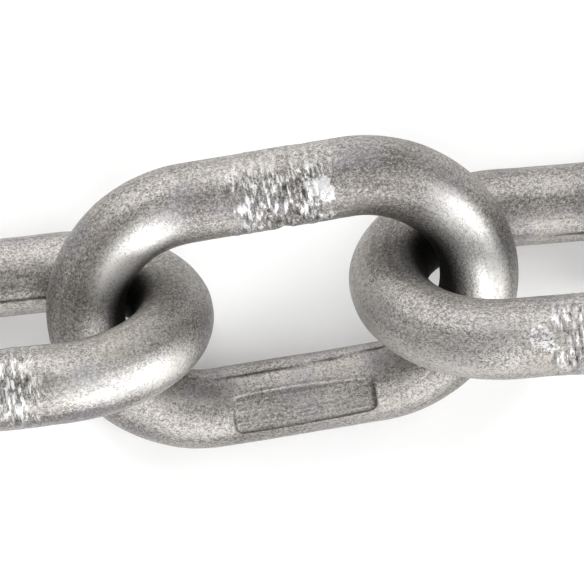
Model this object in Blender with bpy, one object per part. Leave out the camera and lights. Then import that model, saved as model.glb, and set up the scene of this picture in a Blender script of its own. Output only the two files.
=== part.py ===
"""A metre of welded steel chain, lying loosely on a level floor.

Every link is one round bar, bent to a closed ring with straight sides and half-round crowns. The chain runs
along +X. Its links lean on the floor by turns: one lies flatter with its raised side bar towards +Y, and the
next stands steeper with its raised side bar towards -Y. The origin is under the middle of the run, on the
floor, with +Z up.
"""

import math

import bpy
import numpy as np
from mathutils import Matrix, Vector

# Driving dimensions of one link, in metres.
WIRE_DIAMETER = 0.013
PITCH = 0.052  # inside length, which is also the step from link to link on a taut chain
INSIDE_WIDTH = 0.026

# The run of chain.
LINKS = 19
MIDDLE_LINK = 10  # the one that carries all the others
CLEARANCE = 0.0005  # between two links' round wires, so that their faceted ones never touch

# How the links lie, in degrees and metres: these four lies over and over, from the middle link in +X.
# The lean is the angle between the floor and the link's plane, and a positive one raises the side bar
# towards +Y. The heading is the angle between the link's length and the run, seen from above.
LIES = (
    {"lean": 37.1, "heading": 2.8, "sidestep": 0.0},
    {"lean": -49.6, "heading": -2.1, "sidestep": -0.0016},
    {"lean": 37.1, "heading": 2.8, "sidestep": -0.0008},
    {"lean": -55.2, "heading": -0.3, "sidestep": -0.0016},
)

# How finely the round bar is faceted.
SECTION_SIDES = 12
CROWN_STEPS = 12
SEATING_STEPS = 120  # points on each truly round crown when two links are set against each other
SLIDE_HALVINGS = 24  # of the sliding distance, which ends well under a micrometre

STEEL_GREY = (0.42, 0.41, 0.39, 1.0)
STEEL_ROUGHNESS = 0.38

WIRE_RADIUS = WIRE_DIAMETER / 2
CROWN_RADIUS = (INSIDE_WIDTH + WIRE_DIAMETER) / 2  # of the wire's centre line
STRAIGHT_HALF = (PITCH - INSIDE_WIDTH) / 2
FACET_ANGLE = 2 * math.pi / SECTION_SIDES
CORNER_RADIUS = WIRE_RADIUS * math.sqrt(FACET_ANGLE / math.sin(FACET_ANGLE))  # for the round bar's area
FACET_DEPTH = CORNER_RADIUS * math.cos(FACET_ANGLE / 2)  # from the wire's centre to the middle of a side


def clear_scene():
    for obj in list(bpy.data.objects):
        bpy.data.objects.remove(obj)


def centre_line(steps):
    """The wire's centre line in the link's own XY plane: a half-round crown at each end, in +X first."""
    points = []
    for end in (1, -1):
        for step in range(steps + 1):
            turn = math.pi * step / steps
            along = end * (STRAIGHT_HALF + CROWN_RADIUS * math.sin(turn))
            across = end * CROWN_RADIUS * math.cos(turn)
            points.append(Vector((along, across, 0.0)))
    return points


def link_curve(name, lean, material):
    """A link's ring of round bar, turned so that one of its sides lies flat on the floor at this lean."""
    curve = bpy.data.curves.new(name, "CURVE")
    curve.dimensions = "3D"
    curve.twist_mode = "Z_UP"
    curve.bevel_depth = CORNER_RADIUS
    curve.bevel_resolution = (SECTION_SIDES - 4) // 2
    places = centre_line(CROWN_STEPS)
    spline = curve.splines.new("POLY")
    spline.points.add(len(places) - 1)
    spline.use_cyclic_u = True
    for point, place in zip(spline.points, places):
        point.co = (*place, 1.0)
        point.tilt = abs(lean) + FACET_ANGLE / 2
    curve.materials.append(material)
    return curve


def bare_steel():
    material = bpy.data.materials.new("bare_steel")
    material.use_nodes = True
    shader = material.node_tree.nodes["Principled BSDF"]
    shader.inputs["Base Color"].default_value = STEEL_GREY
    shader.inputs["Metallic"].default_value = 1.0
    shader.inputs["Roughness"].default_value = STEEL_ROUGHNESS
    return material


def lie_index(number):
    return (number - MIDDLE_LINK) % len(LIES)


def laid(number, along):
    """A link's place on the floor when its centre is this far along the run."""
    lie = LIES[lie_index(number)]
    lean = math.radians(lie["lean"])
    heading = math.radians(lie["heading"])
    height = FACET_DEPTH + CROWN_RADIUS * math.sin(abs(lean))
    place = Matrix.Translation((along, lie["sidestep"], height))
    return place @ Matrix.Rotation(heading, 4, "Z") @ Matrix.Rotation(lean, 4, "X")


def wire_samples(matrix):
    """Close points along the centre line of a placed link's crowns, as an array."""
    return np.array([matrix @ point for point in centre_line(SEATING_STEPS)])


def wires_apart(first, second):
    """The shortest distance between two wires' centre lines."""
    return np.linalg.norm(first[:, None] - second[None], axis=2).min()


def pulled_taut(number, carrier, carrier_along, direction):
    """How far along the run a link lies once it is pulled until its crown bears on its carrier's crown."""
    carrier_wire = wire_samples(carrier)
    loose, clashing = PITCH - WIRE_RADIUS, PITCH + WIRE_RADIUS
    for _ in range(SLIDE_HALVINGS):
        middle = (loose + clashing) / 2
        wire = wire_samples(laid(number, carrier_along + direction * middle))
        if wires_apart(carrier_wire, wire) > WIRE_DIAMETER + CLEARANCE:
            loose = middle
        else:
            clashing = middle
    return carrier_along + direction * loose


def swing_frame(carrier, direction):
    """A frame in the middle of the carrier's crown, with Z across the carrier, which is the swing's axis."""
    crown = Matrix.Translation((direction * (STRAIGHT_HALF + CROWN_RADIUS), 0.0, 0.0))
    return carrier @ crown @ Matrix.Rotation(-math.pi / 2, 4, "X")


def place_object(name, data, matrix, parent, collection):
    obj = bpy.data.objects.new(name, data)
    collection.objects.link(obj)
    obj.parent = parent
    obj.matrix_world = matrix
    bpy.context.view_layer.update()
    return obj


def hang_links(direction, middle_link, curves, collection):
    """Hang the links on one side of the middle link, each one in the link before it."""
    carrier = middle_link
    along = 0.0
    last_number = LINKS if direction > 0 else 1
    for number in range(MIDDLE_LINK + direction, last_number + direction, direction):
        along = pulled_taut(number, carrier.matrix_world, along, direction)
        matrix = laid(number, along)
        pivot = swing_frame(carrier.matrix_world, direction)
        swing = place_object(f"swing_{number:02d}", None, pivot, carrier, collection)
        swing.empty_display_size = WIRE_DIAMETER
        carrier = place_object(f"link_{number:02d}", curves[lie_index(number)], matrix, swing, collection)


def centre_on_floor(middle_link):
    """Move the whole run so that the origin is under the middle of its box, on the floor."""
    depsgraph = bpy.context.evaluated_depsgraph_get()
    corners = []
    for obj in bpy.data.objects:
        if obj.type == "CURVE":
            evaluated = obj.evaluated_get(depsgraph)
            corners += [obj.matrix_world @ vertex.co for vertex in evaluated.to_mesh().vertices]
            evaluated.to_mesh_clear()
    low, high = np.min(corners, axis=0), np.max(corners, axis=0)
    middle_link.location -= Vector(((low[0] + high[0]) / 2, (low[1] + high[1]) / 2, low[2]))
    bpy.context.view_layer.update()


def build_chain():
    collection = bpy.data.collections.new("steel_chain")
    bpy.context.scene.collection.children.link(collection)
    material = bare_steel()
    curves = [link_curve("link_wire", math.radians(lie["lean"]), material) for lie in LIES]
    middle_link = place_object(
        f"link_{MIDDLE_LINK:02d}", curves[0], laid(MIDDLE_LINK, 0.0), None, collection
    )
    for direction in (1, -1):
        hang_links(direction, middle_link, curves, collection)
    centre_on_floor(middle_link)


clear_scene()
build_chain()
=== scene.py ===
import math

import bpy
import numpy as np
from mathutils import Matrix, Vector


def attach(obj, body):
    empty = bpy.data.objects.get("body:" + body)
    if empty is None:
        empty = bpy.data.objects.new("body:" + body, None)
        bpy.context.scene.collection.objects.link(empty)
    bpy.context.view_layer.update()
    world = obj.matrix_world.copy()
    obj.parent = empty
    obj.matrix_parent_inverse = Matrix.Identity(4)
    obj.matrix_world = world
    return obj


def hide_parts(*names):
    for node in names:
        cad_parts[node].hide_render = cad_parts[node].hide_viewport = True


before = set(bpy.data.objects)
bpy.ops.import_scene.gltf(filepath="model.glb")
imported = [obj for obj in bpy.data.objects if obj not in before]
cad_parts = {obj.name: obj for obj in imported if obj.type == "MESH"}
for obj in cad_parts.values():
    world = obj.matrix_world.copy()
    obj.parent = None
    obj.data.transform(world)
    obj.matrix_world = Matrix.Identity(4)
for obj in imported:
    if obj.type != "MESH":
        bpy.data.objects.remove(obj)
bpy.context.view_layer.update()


# Bare steel, as it comes from the bar mill and the chain machine: no coating, a dull warm grey with a fine
# grain all over, lengthwise lines from the rolls, small pits and faint temper colours. The bends are rubbed
# smoother on the outside, with a bright highlight painted over the rub, and black with scale and painted
# shade where the next link bears. The butt weld is brighter and rough, with glints painted on its ridges.
STEEL_DARK = (0.12, 0.112, 0.104, 1.0)
STEEL_LIGHT = (0.49, 0.47, 0.447, 1.0)
STEEL_VIOLET = (0.235, 0.225, 0.26, 1.0)
STEEL_STRAW = (0.32, 0.30, 0.255, 1.0)
# Rubbed steel's colour, also a painted highlight on the crowns.
RUBBED_AND_HIGHLIGHT_BRIGHT = (0.92, 0.905, 0.885, 1.0)
# Bright trimmed steel, also painted glints on the weld's ridges.
WELD_BRIGHT_AND_GLINT = (0.84, 0.85, 0.86, 1.0)
# Scale black, also used as painted shade inside the crowns and along the pad's edges.
SCALE_AND_SHADE_BLACK = (0.014, 0.013, 0.012, 1.0)
GRAINS_PER_METRE = 4700.0
GRAIN_STRETCH = 0.75  # the grain is this many times coarser along the bar than across it
MOTTLES_PER_METRE = 1900.0
CLOUDS_PER_METRE = 75.0
TINTS_PER_METRE = 127.5
LINES_PER_METRE = 2200.0
SEAMS_PER_METRE = 484.0
BANDS_PER_METRE = 260.0
LINE_STRETCH = 0.035  # the lines, seams and bands are this many times coarser along the bar
RIDGES_PER_METRE = 1350.0
RIDGE_STRETCH = 0.32  # the weld's ridges are this many times coarser round the bar than along it
PITS_PER_METRE = 800.0

# How much each pattern adds to the steel's tone. The patterns run from 0 to 1.
MOTTLE_TONE = 1.30
GRAIN_TONE = 1.30
LINE_TONE = 0.30
BAND_TONE = 0.75
CLOUD_TONE = 0.50

# Where in a pattern a mark starts and where it is full, and then how strong it is at both, if not 0 and 1.
DARK_TO_LIGHT = (1.67, 2.52)
VIOLET_STRETCH = (0.50, 0.72, 0.0, 0.30)
STRAW_STRETCH = (0.48, 0.30, 0.0, 0.25)
POLISH_AND_HIGHLIGHT_STRETCH = (1.70, 2.18, 0.60, 1.0)
PIT_STRETCH = (0.17, 0.08, 0.0, 0.8)
PIT_PLACES = (0.54, 0.62)
SEAM_STRETCH = (0.33, 0.27, 0.0, 0.55)
LAP_STRETCH = (0.34, 0.52, 0.25, 0.85)
GROOVE_STRETCH = (0.44, 0.35, 0.0, 0.6)
SOOT_AND_SHADE_STRETCH = (0.25, 0.60, 1.0, 0.95)
FLECK_AND_GLINT_STRETCH = (0.49, 0.60)
FLECK_AND_GLINT_BRIGHTNESS = 0.75
SMEAR_STRETCH = (1.55, 1.95)
SMEAR_BRIGHTNESS = 0.75  # beside that of the flecks
SMEAR_MOTTLE = 1.6
SMEAR_GRAIN = 0.5

DULL_ROUGHNESS = 0.42
RUBBED_ROUGHNESS = 0.30
GRAIN_ROUGHNESS = 0.20
SMEAR_ROUGHNESS = -0.06
DIRT_AND_SHADE_ROUGHNESS = 0.25

RELIEF = 0.00007  # one unit of the heights that follow, in metres
MOTTLE_HEIGHT = 1.2
GRAIN_HEIGHT = 0.9
LINE_HEIGHT = 0.35
DIRT_AND_SHADE_HEIGHT = -0.9
RIDGE_RELIEF = 4.5


def noise(tree, vector, scale, detail=2.0, roughness=0.5):
    node = tree.nodes.new("ShaderNodeTexNoise")
    node.inputs["Scale"].default_value = scale
    node.inputs["Detail"].default_value = detail
    node.inputs["Roughness"].default_value = roughness
    tree.links.new(vector, node.inputs["Vector"])
    return node.outputs["Fac"]


def between(tree, value, low, high, new_low=0.0, new_high=1.0):
    """The value's stretch from low to high, spread over new_low to new_high with soft ends."""
    node = tree.nodes.new("ShaderNodeMapRange")
    node.interpolation_type = "SMOOTHSTEP"
    node.inputs["From Min"].default_value = low
    node.inputs["From Max"].default_value = high
    node.inputs["To Min"].default_value = new_low
    node.inputs["To Max"].default_value = new_high
    tree.links.new(value, node.inputs["Value"])
    return node.outputs["Result"]


def math_of(tree, operation, *values):
    node = tree.nodes.new("ShaderNodeMath")
    node.operation = operation
    for socket, value in zip(node.inputs, values):
        if isinstance(value, (int, float)):
            socket.default_value = value
        else:
            tree.links.new(value, socket)
    return node.outputs["Value"]


def summed(tree, start, *parts):
    """The start, and on top of it each part's value times its weight."""
    total = start
    for value, weight in parts:
        total = math_of(tree, "MULTIPLY_ADD", value, weight, total)
    return total


def product(tree, first, second):
    return math_of(tree, "MULTIPLY", first, second)


def strongest(tree, first, *others):
    for other in others:
        first = math_of(tree, "MAXIMUM", first, other)
    return first


def mixed(tree, share, first, second):
    node = tree.nodes.new("ShaderNodeMix")
    node.data_type = "RGBA"
    for socket, value in zip((node.inputs[0], node.inputs[6], node.inputs[7]), (share, first, second)):
        if isinstance(value, (tuple, float)):
            socket.default_value = value
        else:
            tree.links.new(value, socket)
    return node.outputs[2]


def stretched(tree, vector, stretch):
    node = tree.nodes.new("ShaderNodeMapping")
    node.inputs["Scale"].default_value = stretch
    tree.links.new(vector, node.inputs["Vector"])
    return node.outputs["Vector"]


def read_mask(tree, name):
    node = tree.nodes.new("ShaderNodeAttribute")
    node.attribute_name = name
    return node.outputs["Fac"]


def make_bare_steel():
    material = bpy.data.materials.new("bare_steel_worn")
    material.use_nodes = True
    tree = material.node_tree
    shader = tree.nodes["Principled BSDF"]
    shader.inputs["Metallic"].default_value = 1.0

    place = tree.nodes.new("ShaderNodeTexCoord").outputs["Object"]
    bar_place = tree.nodes.new("ShaderNodeAttribute")
    bar_place.attribute_name = "straight_bar"
    grain_place = stretched(tree, bar_place.outputs["Vector"], (GRAIN_STRETCH, 1.0, 1.0))
    along_lines = stretched(tree, bar_place.outputs["Vector"], (LINE_STRETCH, 1.0, 1.0))
    round_ridges = stretched(tree, bar_place.outputs["Vector"], (1.0, RIDGE_STRETCH, RIDGE_STRETCH))
    weld, smear, rubbed_and_highlight = (read_mask(tree, name) for name in ("weld", "smear", "rubbed_and_highlight"))
    bearing_scale_and_shade, lap_and_pad_shade = (read_mask(tree, name) for name in ("bearing_scale_and_shade", "lap_and_pad_shade"))

    grain = noise(tree, grain_place, GRAINS_PER_METRE, detail=1.5, roughness=0.6)
    mottle = noise(tree, place, MOTTLES_PER_METRE, detail=4.0, roughness=0.62)
    clouds = noise(tree, place, CLOUDS_PER_METRE)
    tint = noise(tree, place, TINTS_PER_METRE, detail=1.0)
    lines = noise(tree, along_lines, LINES_PER_METRE, detail=3.0, roughness=0.6)
    bands = noise(tree, along_lines, BANDS_PER_METRE)
    seams = noise(tree, along_lines, SEAMS_PER_METRE, detail=4.0, roughness=0.7)
    ridges = noise(tree, round_ridges, RIDGES_PER_METRE, detail=3.0, roughness=0.68)
    pits = tree.nodes.new("ShaderNodeTexVoronoi")
    pits.inputs["Scale"].default_value = PITS_PER_METRE
    tree.links.new(place, pits.inputs["Vector"])

    fine_tone = summed(tree, 0.0, (mottle, MOTTLE_TONE), (grain, GRAIN_TONE))
    tone = summed(tree, fine_tone, (lines, LINE_TONE), (bands, BAND_TONE), (clouds, CLOUD_TONE))
    colour = mixed(tree, between(tree, tone, *DARK_TO_LIGHT), STEEL_DARK, STEEL_LIGHT)
    colour = mixed(tree, between(tree, tint, *VIOLET_STRETCH), colour, STEEL_VIOLET)
    colour = mixed(tree, between(tree, tint, *STRAW_STRETCH), colour, STEEL_STRAW)
    # The rubbed crowns get a bright colour: a painted highlight where the lamps glint on them.
    polish_and_highlight = product(tree, rubbed_and_highlight, between(tree, tone, *POLISH_AND_HIGHLIGHT_STRETCH))
    colour = mixed(tree, polish_and_highlight, colour, RUBBED_AND_HIGHLIGHT_BRIGHT)

    pit = between(tree, pits.outputs["Distance"], *PIT_STRETCH)
    pit = product(tree, pit, between(tree, mottle, *PIT_PLACES))
    seam = between(tree, seams, *SEAM_STRETCH)
    broken_lap_and_pad_shade = product(tree, lap_and_pad_shade, between(tree, lines, *LAP_STRETCH))
    groove = product(tree, weld, between(tree, ridges, *GROOVE_STRETCH))
    # Pits, seams and laps are the steel's own marks; the pad's dark edges are painted shade; the grooves
    # between the weld's ridges are painted darker.
    dirt_and_shade = strongest(tree, pit, seam, broken_lap_and_pad_shade, groove)
    # Black scale inside the crowns, deepened to painted shade where the next link hides the light.
    soot_and_shade = product(tree, bearing_scale_and_shade, between(tree, mottle, *SOOT_AND_SHADE_STRETCH))
    colour = mixed(tree, strongest(tree, dirt_and_shade, soot_and_shade), colour, SCALE_AND_SHADE_BLACK)

    # The weld's ridge tops and the smear are painted bright: trimmed steel, and on the ridges painted
    # glints.
    fleck_and_glint = product(tree, weld, between(tree, ridges, *FLECK_AND_GLINT_STRETCH))
    ragged_smear = summed(tree, smear, (grain, SMEAR_GRAIN), (mottle, SMEAR_MOTTLE))
    ragged_smear = between(tree, ragged_smear, *SMEAR_STRETCH)
    fleck_and_glint = strongest(tree, fleck_and_glint, product(tree, ragged_smear, SMEAR_BRIGHTNESS))
    colour = mixed(tree, product(tree, fleck_and_glint, FLECK_AND_GLINT_BRIGHTNESS), colour, WELD_BRIGHT_AND_GLINT)
    tree.links.new(colour, shader.inputs["Base Color"])

    rough = summed(tree, DULL_ROUGHNESS, (rubbed_and_highlight, RUBBED_ROUGHNESS - DULL_ROUGHNESS))
    rough = summed(tree, rough, (grain, GRAIN_ROUGHNESS), (ragged_smear, SMEAR_ROUGHNESS))
    rough = summed(tree, rough, (dirt_and_shade, DIRT_AND_SHADE_ROUGHNESS), (soot_and_shade, DIRT_AND_SHADE_ROUGHNESS))
    tree.links.new(rough, shader.inputs["Roughness"])

    height = summed(tree, 0.0, (mottle, MOTTLE_HEIGHT), (grain, GRAIN_HEIGHT), (lines, LINE_HEIGHT))
    height = summed(tree, height, (dirt_and_shade, DIRT_AND_SHADE_HEIGHT), (product(tree, weld, ridges), RIDGE_RELIEF))
    bump = tree.nodes.new("ShaderNodeBump")
    bump.inputs["Distance"].default_value = RELIEF
    tree.links.new(height, bump.inputs["Height"])
    tree.links.new(bump.outputs["Normal"], shader.inputs["Normal"])
    return material


bare_steel = make_bare_steel()


# The link, modelled once, lying in its own XY plane with the welded side bar towards +Y.
# The real one is a length of round bar, bent to a ring in a chain machine until its two ends meet in the
# middle of a side bar. There they are butt-welded, and the flash is trimmed off with a chisel tool.
WIRE_RADIUS = 0.0065
CROWN_RADIUS = 0.0195  # of the wire's centre line
STRAIGHT_HALF = 0.013
BAR_LENGTH = 4 * STRAIGHT_HALF + 2 * math.pi * CROWN_RADIUS
SECTION_POINTS = 72
WELDED_BAR_RINGS = 80
PLAIN_BAR_RINGS = 28
CROWN_RINGS = 88
MERGE_DISTANCE = 0.00001
CROWN_THINNING = 0.0002  # the bend draws the wire this much thinner on its outside
CROWN_SWELLING = 0.0001  # and presses it this much thicker on its inside
WELD_CENTRE = 0.002  # along the side bar, from its middle
WELD_HALF_LENGTH = 0.0085
WELD_SWELL = 0.00012
WELD_NOTCH_DEPTH = 0.0007
WELD_NOTCH_HALF_WIDTH = 0.0009
NOTCH_SHARPNESS = 4  # how fast the notch fades round the bar, away from the ring's inside
BEARING_ENDS = (0.027, 0.010)  # from the crown's middle: where the scale ends and where it is full
BEARING_FACE = (0.38, 0.78)  # the same from the wire's middle towards the ring's inside, in wire radii


def select_only(obj):
    bpy.ops.object.select_all(action="DESELECT")
    obj.select_set(True)
    bpy.context.view_layer.objects.active = obj


def bend_bar_to_ring():
    """A circle of the bar's section is drawn along one side bar, round a crown, back and round again."""
    bpy.ops.object.select_all(action="DESELECT")
    bpy.ops.mesh.primitive_circle_add(
        vertices=SECTION_POINTS,
        radius=WIRE_RADIUS,
        location=(-STRAIGHT_HALF, CROWN_RADIUS, 0.0),
        rotation=(0.0, math.pi / 2, 0.0),
    )
    bpy.ops.object.transform_apply(location=True, rotation=True)
    bpy.ops.object.mode_set(mode="EDIT")
    for end, rings in ((1, WELDED_BAR_RINGS), (-1, PLAIN_BAR_RINGS)):
        step = end * 2 * STRAIGHT_HALF / rings
        for _ in range(rings):
            bpy.ops.mesh.extrude_region_move(TRANSFORM_OT_translate={"value": (step, 0.0, 0.0)})
        bpy.ops.mesh.spin(
            steps=CROWN_RINGS, angle=math.pi, center=(end * STRAIGHT_HALF, 0.0, 0.0), axis=(0.0, 0.0, 1.0)
        )
    bpy.ops.mesh.select_all(action="SELECT")
    bpy.ops.mesh.remove_doubles(threshold=MERGE_DISTANCE)
    bpy.ops.mesh.normals_make_consistent(inside=False)
    bpy.ops.object.mode_set(mode="OBJECT")
    link = bpy.context.object
    link.name = "link_pattern"
    return link


def get_places(mesh):
    places = np.empty(len(mesh.vertices) * 3)
    mesh.vertices.foreach_get("co", places)
    return places.reshape(-1, 3)


def set_places(mesh, places):
    mesh.vertices.foreach_set("co", places.ravel())
    mesh.update()


def on_straight_bar(places):
    """Where each point lay on the straight bar: along it from the welded side bar's middle, out, and up."""
    x, y, up = places.T
    beyond = np.clip(np.abs(x) - STRAIGHT_HALF, 0.0, None)
    turn = np.arctan2(beyond, np.abs(y))
    out = np.hypot(beyond, y) - CROWN_RADIUS
    from_middle = np.minimum(np.abs(x), STRAIGHT_HALF) + CROWN_RADIUS * turn
    along = np.where(y > 0, from_middle, BAR_LENGTH / 2 - from_middle) * np.where(x < 0, -1, 1)
    return np.stack([along, out, up], axis=1)


def outward_directions(places, bar):
    """The directions that point straight out of the wire's surface."""
    x, y, _ = places.T
    beyond = np.sign(x) * np.clip(np.abs(x) - STRAIGHT_HALF, 0.0, None)
    reach = np.hypot(beyond, y)
    thickness = np.hypot(bar[:, 1], bar[:, 2])
    out = bar[:, 1] / thickness
    return np.stack([out * beyond / reach, out * y / reach, bar[:, 2] / thickness], axis=1)


def hump(distance, half_width):
    return np.exp(-((distance / half_width) ** 2))


def step_up(value, low, high):
    share = np.clip((value - low) / (high - low), 0.0, 1.0)
    return share * share * (3 - 2 * share)


def add_mask(mesh, name, values):
    mask = mesh.attributes.new(name, "FLOAT", "POINT")
    mask.data.foreach_set("value", values)


def store_bar_places(link):
    """The steel's lines follow the place on the straight bar, which starts anew at the weld."""
    mesh = link.data
    bar = on_straight_bar(get_places(mesh))
    corner_vertices = np.empty(len(mesh.loops), dtype=int)
    mesh.loops.foreach_get("vertex_index", corner_vertices)
    centres = np.empty(len(mesh.polygons) * 3)
    mesh.polygons.foreach_get("center", centres)
    face_along = on_straight_bar(centres.reshape(-1, 3))[:, 0] % BAR_LENGTH
    sizes = np.empty(len(mesh.polygons), dtype=int)
    mesh.polygons.foreach_get("loop_total", sizes)
    face_along = np.repeat(face_along, sizes)
    corners = bar[corner_vertices]
    from_face = (corners[:, 0] - face_along + BAR_LENGTH / 2) % BAR_LENGTH - BAR_LENGTH / 2
    corners[:, 0] = face_along + from_face
    straight_bar = mesh.attributes.new("straight_bar", "FLOAT_VECTOR", "CORNER")
    straight_bar.data.foreach_set("vector", corners.ravel())


def blacken_and_shade_bearings(link):
    """Inside the crowns, where the next link bears: some real scale, and painted shade where the links hide
    the light.
    """
    along, out, _ = on_straight_bar(get_places(link.data)).T
    tight_crown = step_up(np.abs(np.abs(along) - BAR_LENGTH / 4), *BEARING_ENDS)
    add_mask(link.data, "bearing_scale_and_shade", tight_crown * step_up(-out / WIRE_RADIUS, *BEARING_FACE))


def shape_weld_and_crowns(link):
    places = get_places(link.data)
    bar = on_straight_bar(places)
    along, out, _ = bar.T
    crown = np.clip((np.abs(places[:, 0]) - STRAIGHT_HALF) / CROWN_RADIUS, 0.0, 1.0)
    from_weld = np.abs(along - WELD_CENTRE)
    outer_side = np.clip(out / WIRE_RADIUS, 0.0, 1.0)
    inner_side = np.clip(-out / WIRE_RADIUS, 0.0, 1.0)
    height = crown**2 * (CROWN_SWELLING * inner_side - CROWN_THINNING * outer_side)
    height += WELD_SWELL * hump(from_weld, WELD_HALF_LENGTH)
    height -= WELD_NOTCH_DEPTH * inner_side**NOTCH_SHARPNESS * hump(from_weld, WELD_NOTCH_HALF_WIDTH)
    set_places(link.data, places + outward_directions(places, bar) * height[:, None])


link_pattern = bend_bar_to_ring()
store_bar_places(link_pattern)
blacken_and_shade_bearings(link_pattern)
shape_weld_and_crowns(link_pattern)
link_pattern.data.materials.append(bare_steel)


# The links of the chain. Each one is closed through the link before it, so each is a ring of its own that
# lies on its lower side bar and leans on its neighbours' crowns. No two are quite the same: the bar's
# evenness, the trimmed weld and the rolling lap along the bar come out a little different each time.
LINKS = 19
UNEVEN_SCALE = 0.011
UNEVEN_HEIGHT = 0.00022
ROUGH_FACES = (85.0, -25.0)  # round the bar: where the trimmed weld is roughest
ROUGH_FACE_REACH = 62.0
LEAST_ROUGH = 0.2  # on the weld's other faces
ROUGH_END_SOFTNESS = 0.0022
ROUGH_END_WAVES = ((4, 0.0012), (11, 0.0007))  # round the bar: how many, and how high
FAINTEST_RIDGE = 0.02  # where the weld's share is smaller than this, the bar stays smooth
RIDGE_SIZE = (0.00085, 0.0022, 0.0022)  # of the weld's ridges, along the bar and round it
RIDGE_HEIGHT = 0.0012
SMEAR_PLACES = ((0.0088, 72.0), (-0.0085, -30.0))  # of the smeared flash, along the bar and round it
SMEAR_SHARES = (1.0, 0.72)
SMEAR_HALF_LENGTH = 0.0024
SMEAR_HALF_WIDTH = 0.0022
SMEAR_HEIGHT = 0.00018
SMEAR_SLANT = 0.4
SMEAR_WAVES = ((3, 0.16), (7, 0.10))
SMEAR_EDGE = (1.35, 0.75)  # where it ends and where it is full, in half lengths
RUB_AND_HIGHLIGHT_FACE_REACH = 42.0
RUB_AND_HIGHLIGHT_MIDDLE = 0.028  # along the bar from the weld's side bar, on the raised half of each crown
RUB_AND_HIGHLIGHT_SOFTNESS = 0.010
# Where the crowns are rubbed and given a painted highlight, link by link.
CROWN_RUBS_AND_HIGHLIGHTS = {  # how much, from where to where, at which angle, and how that turns in degrees per metre
    9: ((0.4, 0.008, 0.036, -4.0, 1200.0), (0.7, 0.010, 0.048, -4.0, 0.0)),
    10: ((0.8, 0.023, 0.055, 80.0, 0.0), (1.0, 0.012, 0.038, 104.0, 1500.0)),
    11: ((0.6, 0.010, 0.048, -4.0, 0.0), (0.1, 0.010, 0.048, -4.0, 0.0)),
}
USUAL_FACES = (85.0, -4.0)  # the angle on the other links, even and odd
USUAL_SHARE = 0.6  # of the second crown
USUAL_START = 0.010
USUAL_END = 0.048
USUAL_TWIST = 800.0
SHARE_STEP = 2.4  # radians from link to link, in the wave that the first crown's share follows
LAP_ANGLES = (171.0, 165.0)
LAP_WAVES = ((2, 5.0), (5, 2.0))  # round the ring: how many, and how far in degrees
LAP_HALF_WIDTH = 0.00022
BAR_SHIFT = 0.2931  # between the bars of two links that follow each other, in the steel's pattern


def lie_of(node):
    """How a link lies: its matrix, read from the solid, with the raised side bar towards its own +Y."""
    places = get_places(node.data)
    centre = places.mean(axis=0)
    _, _, axes = np.linalg.svd(places - centre, full_matrices=False)
    length, width = axes[0], axes[1]
    length = length * np.sign(length[0])
    width = width * np.sign(width[2])
    lie = np.eye(4)
    lie[:3, :3] = np.stack([length, width, np.cross(length, width)], axis=1)
    lie[:3, 3] = (places.min(axis=0) + places.max(axis=0)) / 2
    return Matrix(lie)


def displace(link, texture, height, group="", carrier=None):
    modifier = link.modifiers.new(texture.name, "DISPLACE")
    modifier.texture = texture
    modifier.texture_coords = "OBJECT" if carrier else "LOCAL"
    modifier.texture_coords_object = carrier
    modifier.strength = height
    modifier.vertex_group = group
    bpy.ops.object.modifier_apply(modifier=modifier.name)


unevenness = bpy.data.textures.new("unevenness", "CLOUDS")
unevenness.noise_scale = UNEVEN_SCALE
unevenness.noise_depth = 2
weld_ridges = bpy.data.textures.new("weld_ridges", "CLOUDS")
weld_ridges.noise_scale = 1.0
weld_ridges.noise_depth = 1
ridge_carrier = bpy.data.objects.new("ridge_carrier", None)
bpy.context.scene.collection.objects.link(ridge_carrier)
ridge_carrier.scale = RIDGE_SIZE


def shift_bar_pattern(link, number):
    straight_bar = link.data.attributes["straight_bar"].data
    corners = np.empty(len(straight_bar) * 3)
    straight_bar.foreach_get("vector", corners)
    corners[0::3] += number * BAR_SHIFT
    straight_bar.foreach_set("vector", corners)


def turned_from(bar, angle):
    """How far round the bar each point is from this angle, in radians."""
    turn = np.arctan2(bar[:, 2], bar[:, 1]) - np.radians(angle)
    return (turn + math.pi) % (2 * math.pi) - math.pi


def two_waves(turn, number, waves):
    """A coarse wave and a finer one, which fall differently on each link."""
    (coarse_count, coarse_height), (fine_count, fine_height) = waves
    coarse_wave = coarse_height * np.sin(coarse_count * turn + number)
    return coarse_wave + fine_height * np.sin(fine_count * turn + 2 * number)


def smear_flash(link, number):
    """The trimming tool leaves a smooth raised smear beside the weld."""
    smear_along, smear_angle = SMEAR_PLACES[number % 2]
    places = get_places(link.data)
    bar = on_straight_bar(places)
    slant = turned_from(bar, smear_angle) * WIRE_RADIUS / SMEAR_HALF_WIDTH
    beside = (bar[:, 0] - smear_along) / SMEAR_HALF_LENGTH - SMEAR_SLANT * slant
    ragged = 1.0 + two_waves(np.arctan2(slant, beside), number, SMEAR_WAVES)
    smear = SMEAR_SHARES[number % 2] * step_up(np.hypot(beside, slant) / ragged, *SMEAR_EDGE)
    add_mask(link.data, "smear", smear)
    height = (SMEAR_HEIGHT * smear)[:, None]
    set_places(link.data, places + outward_directions(places, bar) * height)


def usual_crowns(number):
    """On the other links the first crown is rubbed and given a painted highlight more or less, and the
    second one always as much.
    """
    face = USUAL_FACES[number % 2]
    share = 0.5 + 0.5 * math.sin(SHARE_STEP * number)
    first_crown = (share, USUAL_START, USUAL_END, face, 0.0)
    return first_crown, (USUAL_SHARE, USUAL_START, USUAL_END, face, USUAL_TWIST)


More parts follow.
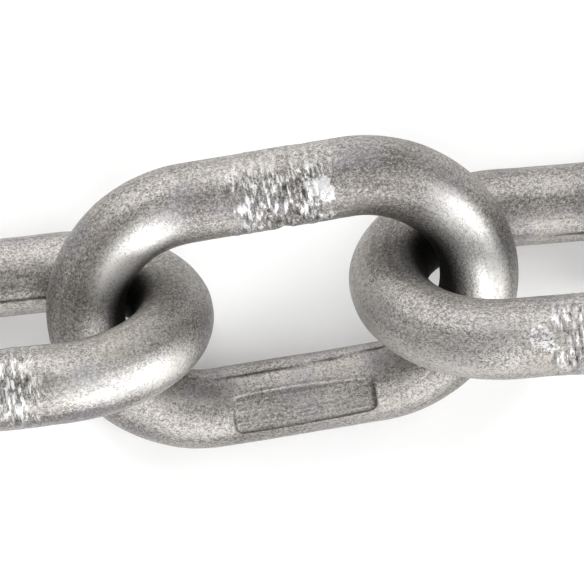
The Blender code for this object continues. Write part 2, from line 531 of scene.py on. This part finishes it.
def rub_and_highlight_crowns(link, number):
    """Handling and tumbling rub the proud face of some crowns smoother, and there a bright highlight is
    painted into the colour.
    """
    bar = on_straight_bar(get_places(link.data))
    along, from_weld = bar[:, 0], np.abs(bar[:, 0])
    crowns = CROWN_RUBS_AND_HIGHLIGHTS.get(number, usual_crowns(number))
    rubbed_and_highlight = np.zeros(len(along))
    for side, (share, start, end, angle, twist) in zip((1, -1), crowns):
        past_start = step_up(from_weld, start, start + RUB_AND_HIGHLIGHT_SOFTNESS)
        before_end = step_up(from_weld, end, end - RUB_AND_HIGHLIGHT_SOFTNESS)
        turn = np.degrees(np.abs(turned_from(bar, angle + twist * (from_weld - RUB_AND_HIGHLIGHT_MIDDLE))))
        face = step_up(turn, RUB_AND_HIGHLIGHT_FACE_REACH, RUB_AND_HIGHLIGHT_FACE_REACH / 4)
        rubbed_and_highlight += share * past_start * before_end * face * (along * side > 0)
    add_mask(link.data, "rubbed_and_highlight", rubbed_and_highlight)


def lap_rolled_bar(link, number, pad_shade_and_dark_floor):
    """A lap from the rolling mill: a thin dark line that wanders along the bar. The pad's painted edge shade
    and darker floor join it.
    """
    bar = on_straight_bar(get_places(link.data))
    wander = two_waves(2 * math.pi * bar[:, 0] / BAR_LENGTH, number, LAP_WAVES)
    turn = turned_from(bar, LAP_ANGLES[number % 2] + wander)
    add_mask(link.data, "lap_and_pad_shade", np.maximum(hump(turn * WIRE_RADIUS, LAP_HALF_WIDTH), pad_shade_and_dark_floor))


def roughen_weld(link, number):
    """The trimming tool chatters across the weld, most of all on the face that it leaves the bar from."""
    bar = on_straight_bar(get_places(link.data))
    turn = np.abs(turned_from(bar, ROUGH_FACES[number % 2]))
    near_face = step_up(turn, math.radians(ROUGH_FACE_REACH), math.radians(ROUGH_FACE_REACH / 2))
    ragged_end = WELD_HALF_LENGTH + two_waves(turn, number, ROUGH_END_WAVES)
    past_end = np.abs(bar[:, 0] - WELD_CENTRE) - ragged_end
    weld_share = LEAST_ROUGH + (1.0 - LEAST_ROUGH) * near_face
    weld_share *= step_up(past_end, ROUGH_END_SOFTNESS / 2, -ROUGH_END_SOFTNESS)
    add_mask(link.data, "weld", weld_share)
    weld_group = link.vertex_groups.new(name="weld")
    for index in np.flatnonzero(weld_share > FAINTEST_RIDGE):
        weld_group.add([int(index)], float(weld_share[index]), "REPLACE")
    ridge_carrier.location = (number * BAR_SHIFT, 0.0, 0.0)
    bpy.context.view_layer.update()
    displace(link, weld_ridges, RIDGE_HEIGHT, "weld", ridge_carrier)
    link.vertex_groups.clear()


# The pad is on the middle link only: a shallow sunk field with rounded corners, struck with a die into the
# lower side bar, with a flat plain floor. A dark line of painted shade runs round its edges, heaviest along
# the lower one, and its floor is painted a little darker.
PAD_LINK = 10
PAD_MIDDLE = 0.0006  # along the lower side bar, towards +X
PAD_HALF_LENGTH = 0.01165
PAD_ANGLE = 103.4
PAD_HALF_ANGLE = 31.5
PAD_CORNER = 0.0012
PAD_TAPER = 0.16  # how much narrower it is at its +X end than at its -X end, beside its middle's width
PAD_BULGE = 0.12  # how much wider it is in its middle than at its ends
PAD_WALL = 0.00042
PAD_MARGIN = 3 * PAD_WALL  # this far round the pad the bar's faces are made finer too
PAD_REACH = 1.0  # radians round the bar from the pad's middle, further than its floor reaches
PAD_DEPTH = 0.00034  # at its long edges
PAD_FLOOR = 0.00575  # from the wire's centre to the middle of the flat floor
PAD_LIP = 0.00007
PAD_SHADE_HALF_WIDTH = 0.00024
PAD_SHADED_EDGE = (-0.6, 0.1)  # from light to painted shade, in radians down round the bar from the pad's middle
PAD_LIGHTER_EDGE = 0.25  # how dark the painted shade on the upper edge is beside the lower one
PAD_FLOOR_DARKENING = 0.38
PAD_CUTS = 3  # across each face of the bar that the pad is on


def pad_distance(places):
    """How far each point is outside the pad's rounded outline, measured on the wire's surface."""
    bar = on_straight_bar(places)
    along = np.where(bar[:, 0] > 0, 0.5, -0.5) * BAR_LENGTH - bar[:, 0] - PAD_MIDDLE
    across = (np.arctan2(bar[:, 2], bar[:, 1]) - math.radians(PAD_ANGLE)) * WIRE_RADIUS
    end_share = along / PAD_HALF_LENGTH
    width_share = 1.0 - PAD_BULGE * end_share**2 - PAD_TAPER / 2 * end_share
    half_width = math.radians(PAD_HALF_ANGLE) * WIRE_RADIUS * width_share
    beyond_end = np.abs(along) - (PAD_HALF_LENGTH - PAD_CORNER)
    beyond_side = np.abs(across) - (half_width - PAD_CORNER)
    outside = np.hypot(np.clip(beyond_end, 0, None), np.clip(beyond_side, 0, None))
    return outside + np.clip(np.maximum(beyond_end, beyond_side), None, 0) - PAD_CORNER


def sink_pad(link):
    """The struck field goes down between steep walls, with a thin lip round it. Returns where painted shade
    darkens its edges, and its darker floor.
    """
    select_only(link)
    centres = np.empty(len(link.data.polygons) * 3)
    link.data.polygons.foreach_get("center", centres)
    near_pad = pad_distance(centres.reshape(-1, 3)) < PAD_MARGIN
    bpy.ops.object.mode_set(mode="EDIT")
    bpy.ops.mesh.select_mode(type="FACE")
    bpy.ops.mesh.select_all(action="DESELECT")
    bpy.ops.object.mode_set(mode="OBJECT")
    link.data.polygons.foreach_set("select", near_pad)
    bpy.ops.object.mode_set(mode="EDIT")
    bpy.ops.mesh.subdivide(number_cuts=PAD_CUTS)
    bpy.ops.object.mode_set(mode="OBJECT")
    places = get_places(link.data)
    bar = on_straight_bar(places)
    outside = pad_distance(places)
    height = PAD_LIP * hump(outside - PAD_WALL, PAD_WALL / 2)
    thickness = np.hypot(bar[:, 1], bar[:, 2])
    turn = turned_from(bar, PAD_ANGLE)
    flat_floor = PAD_FLOOR / np.cos(np.clip(turn, -PAD_REACH, PAD_REACH))
    sunk = step_up(outside, 0.0, -PAD_WALL)
    height -= (thickness - np.minimum(thickness - PAD_DEPTH, flat_floor)) * sunk
    set_places(link.data, places + outward_directions(places, bar) * height[:, None])
    edge_share = PAD_LIGHTER_EDGE + (1.0 - PAD_LIGHTER_EDGE) * step_up(-turn, *PAD_SHADED_EDGE)
    edge_shade = edge_share * hump(outside, PAD_SHADE_HALF_WIDTH)
    return np.maximum(edge_shade, PAD_FLOOR_DARKENING * sunk)


def make_link(number):
    name = f"link_{number:02d}"
    link = bpy.data.objects.new(f"chain_{name}", link_pattern.data.copy())
    bpy.context.scene.collection.objects.link(link)
    pad_shade_and_dark_floor = sink_pad(link) if number == PAD_LINK else 0.0
    select_only(link)
    rub_and_highlight_crowns(link, number)
    lap_rolled_bar(link, number, pad_shade_and_dark_floor)
    smear_flash(link, number)
    roughen_weld(link, number)
    shift_bar_pattern(link, number)
    link.data.transform(lie_of(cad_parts[name]))
    displace(link, unevenness, UNEVEN_HEIGHT)
    bpy.ops.object.shade_smooth()
    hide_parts(name)
    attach(link, name)


for number in range(1, LINKS + 1):
    make_link(number)
bpy.data.objects.remove(link_pattern)
bpy.data.objects.remove(ridge_carrier)


# The camera looks down on the middle of the chain, almost straight down. Its lens is very long, so the links
# that are nearer to it look hardly larger than the others.
CAMERA_TILT = math.radians(7.11)
CAMERA_SIDE_TILT = math.radians(1.02)
CAMERA_TURN = math.radians(-6.51)
CAMERA_DISTANCE = 1.358
CAMERA_REACH = 20.0
LENS_MM = 513.2
SENSOR_MM = 36.0
VIEW_MIDDLE = Vector((0.0018, 0.0002, 0.0195))

camera_turn = Matrix.Rotation(CAMERA_TURN, 4, "Z")
camera_turn @= Matrix.Rotation(CAMERA_SIDE_TILT, 4, "Y")
camera_turn @= Matrix.Rotation(CAMERA_TILT, 4, "X")
camera_data = bpy.data.cameras.new("camera")
camera_data.lens = LENS_MM
camera_data.sensor_width = SENSOR_MM
camera_data.clip_end = CAMERA_REACH
camera = bpy.data.objects.new("camera", camera_data)
camera.matrix_world = (
    Matrix.Translation(VIEW_MIDDLE) @ camera_turn @ Matrix.Translation((0.0, 0.0, CAMERA_DISTANCE))
)
bpy.context.scene.collection.objects.link(camera)
bpy.context.scene.camera = camera


# The floor is a plain pale sheet of paper, far wider than the chain. It glows a little, so that the soft
# shadows on it stay pale.
FLOOR_SIZE = 6.0
FLOOR_LEVEL = -0.0002  # just under the links' lowest faces
FLOOR_ROUGHNESS = 0.9
FLOOR_WHITE = (0.9, 0.9, 0.9, 1.0)
FLOOR_GLOW = 0.13

bpy.ops.object.select_all(action="DESELECT")
bpy.ops.mesh.primitive_plane_add(size=FLOOR_SIZE, location=(0.0, 0.0, FLOOR_LEVEL))
floor = bpy.context.object
floor.name = "floor"
floor_paper = bpy.data.materials.new("floor_paper")
floor_paper.use_nodes = True
floor_shader = floor_paper.node_tree.nodes["Principled BSDF"]
floor_shader.inputs["Base Color"].default_value = FLOOR_WHITE
floor_shader.inputs["Roughness"].default_value = FLOOR_ROUGHNESS
floor_shader.inputs["Emission Color"].default_value = FLOOR_WHITE
floor_shader.inputs["Emission Strength"].default_value = FLOOR_GLOW
floor.data.materials.append(floor_paper)


# Plain soft studio light: round panels on all sides of the chain, the strongest on the right, in front and
# high behind, and a little light from the room.
ROOM_LIGHT = 0.37
PANEL_DISTANCE = 1.5
PANELS = (  # name, azimuth, elevation, width, watts
    ("key_right", 330.0, 24.0, 0.55, 9.0),
    ("low_right", 345.0, 6.0, 0.55, 4.8),
    ("high_right", 15.0, 46.0, 0.6, 3.2),
    ("low_back", 90.0, 6.0, 0.9, 7.0),
    ("back", 120.0, 24.0, 0.6, 6.0),
    ("high_back", 105.0, 48.0, 0.8, 9.0),
    ("left", 180.0, 24.0, 0.6, 3.0),
    ("front", 281.0, 18.0, 0.5, 8.5),
    ("high_front", 266.0, 38.0, 0.6, 3.0),
    ("top_front", 285.0, 66.0, 0.9, 4.0),
)

for name, azimuth, elevation, width, watts in PANELS:
    turn, rise = math.radians(azimuth), math.radians(elevation)
    direction = Vector((math.cos(turn) * math.cos(rise), math.sin(turn) * math.cos(rise), math.sin(rise)))
    panel_data = bpy.data.lights.new(name, "AREA")
    panel_data.shape = "DISK"
    panel_data.energy = watts
    panel_data.size = width
    panel = bpy.data.objects.new(name, panel_data)
    panel.location = direction * PANEL_DISTANCE
    panel.rotation_euler = direction.to_track_quat("Z", "Y").to_euler()
    bpy.context.scene.collection.objects.link(panel)

world = bpy.data.worlds.new("studio")
world.use_nodes = True
room = world.node_tree.nodes["Background"]
room.inputs["Color"].default_value = (1.0, 1.0, 1.0, 1.0)
room.inputs["Strength"].default_value = ROOM_LIGHT
bpy.context.scene.world = world
bpy.context.scene.view_settings.view_transform = "Standard"
